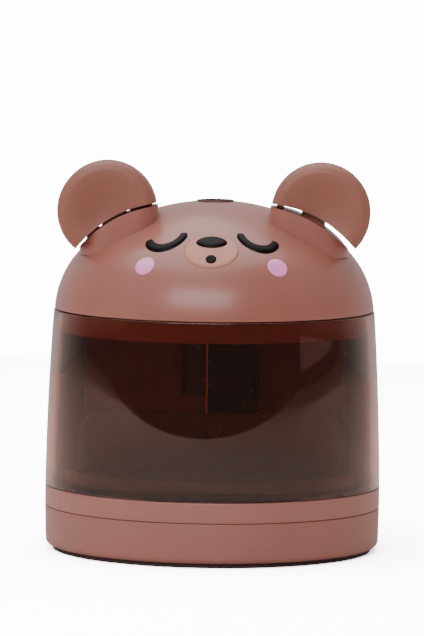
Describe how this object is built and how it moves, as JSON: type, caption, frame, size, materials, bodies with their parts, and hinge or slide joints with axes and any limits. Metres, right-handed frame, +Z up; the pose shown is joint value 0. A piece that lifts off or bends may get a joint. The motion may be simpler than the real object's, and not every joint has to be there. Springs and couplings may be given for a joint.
{
  "type": "electric pencil sharpener",
  "caption": "Battery pencil sharpener shaped as a round-eared sleeping bear, with a smoked chip drawer, a top pencil hole and a geared motor inside.",
  "frame": {"origin": "on the surface it stands on, under the pencil hole's axis, at the middle of the round base", "axes": "+Z up along the pencil hole, -Y towards the face and the drawer's front, +X to the right of someone looking at the face"},
  "size_m": [0.084, 0.084, 0.098],
  "materials": {
    "cocoa_plastic": "satin-gloss moulded ABS, cocoa pink-brown",
    "ear_plastic": "satin-gloss moulded ABS, darker cocoa",
    "sill_plastic": "satin-gloss moulded ABS",
    "smoked_window": "smoked brown transparent plastic",
    "dark_brown": "dark brown plastic",
    "face_black": "gloss black inlay",
    "snout_tan": "satin tan plastic",
    "cheek_pink": "gloss pink dot",
    "black_plastic": "matt black plastic",
    "white_acetal": "natural acetal",
    "steel": "bright steel",
    "zinc": "zinc-plated steel",
    "brass": "sintered bronze",
    "foot_rubber": "dark rubber",
    "cell_jacket": "plain printed cell jacket"
  },
  "bodies": {
    "root": {"foot_ring": "foot_rubber", "base_shell": "cocoa_plastic", "base_screws": "zinc", "body_shell": "sill_plastic", "bulkhead": "cocoa_plastic", "chassis": "cocoa_plastic", "chassis_screws": "zinc", "head_screws": "zinc", "cutter_bush": "brass", "gear_cover": "white_acetal", "cover_screws": "zinc", "cutter_guard": "black_plastic", "head_shell": "cocoa_plastic", "ear_left": "ear_plastic", "ear_right": "ear_plastic", "snout_plate": "snout_tan", "nose": "face_black", "mouth": "face_black", "eye_left": "face_black", "eye_right": "face_black", "cheek_left": "cheek_pink", "cheek_right": "cheek_pink", "pencil_guide": "dark_brown", "gear_pin": "steel", "motor_can": "steel", "cell_left": "cell_jacket", "cell_right": "cell_jacket", "contact_left": "steel", "contact_right": "steel", "start_switch": "black_plastic", "interlock_switch": "black_plastic"},
    "drawer": {"drawer_window": "smoked_window", "drawer_box": "smoked_window"},
    "battery_door": {"battery_door": "cocoa_plastic", "contact_bridge": "steel", "contact_spring_left": "steel", "contact_spring_right": "steel"},
    "cutter": {"cutter_carrier": "dark_brown", "blade": "steel", "blade_screw": "zinc", "ring_gear": "white_acetal"},
    "idler": {"idler_gear": "white_acetal"},
    "rotor": {"motor_shaft": "steel", "motor_pinion": "white_acetal"},
    "start_plunger": {"start_plunger": "white_acetal"},
    "interlock_button": {"interlock_button": "white_acetal"}
  },
  "joints": [
    {"name": "drawer_slide", "type": "slide", "parent": "root", "child": "drawer", "axis": [0, -1, 0], "range_m": [0, 0.055]},
    {"name": "battery_door_hinge", "type": "hinge", "parent": "root", "child": "battery_door", "pos_m": [0, 0.0178, 0.00115], "axis": [-1, 0, 0], "range_deg": [0, 100]},
    {"name": "cutter_spin", "type": "hinge", "parent": "root", "child": "cutter", "pos_m": [0, 0, 0.06], "axis": [0, 0, 1], "continuous": true},
    {"name": "idler_spin", "type": "hinge", "parent": "root", "child": "idler", "pos_m": [0.00358, 0.01713, 0.06], "axis": [0, 0, 1], "continuous": true},
    {"name": "motor_spin", "type": "hinge", "parent": "root", "child": "rotor", "pos_m": [0, 0.027, 0.06], "axis": [0, 0, 1], "continuous": true},
    {"name": "start_press", "type": "slide", "parent": "root", "child": "start_plunger", "axis": [-1, 0, 0], "range_m": [0, 0.0012], "stiffness_N_per_m": 80, "springref_m": -0.0005},
    {"name": "interlock_press", "type": "slide", "parent": "root", "child": "interlock_button", "axis": [0, -1, 0], "range_m": [0, 0.001]}
  ],
  "couplings": [
    {"joint": "idler_spin", "follows": "cutter_spin", "ratio": -4},
    {"joint": "motor_spin", "follows": "cutter_spin", "ratio": 12.8},
    {"joint": "interlock_press", "follows": "drawer_slide", "ratio": 0.018}
  ]
}
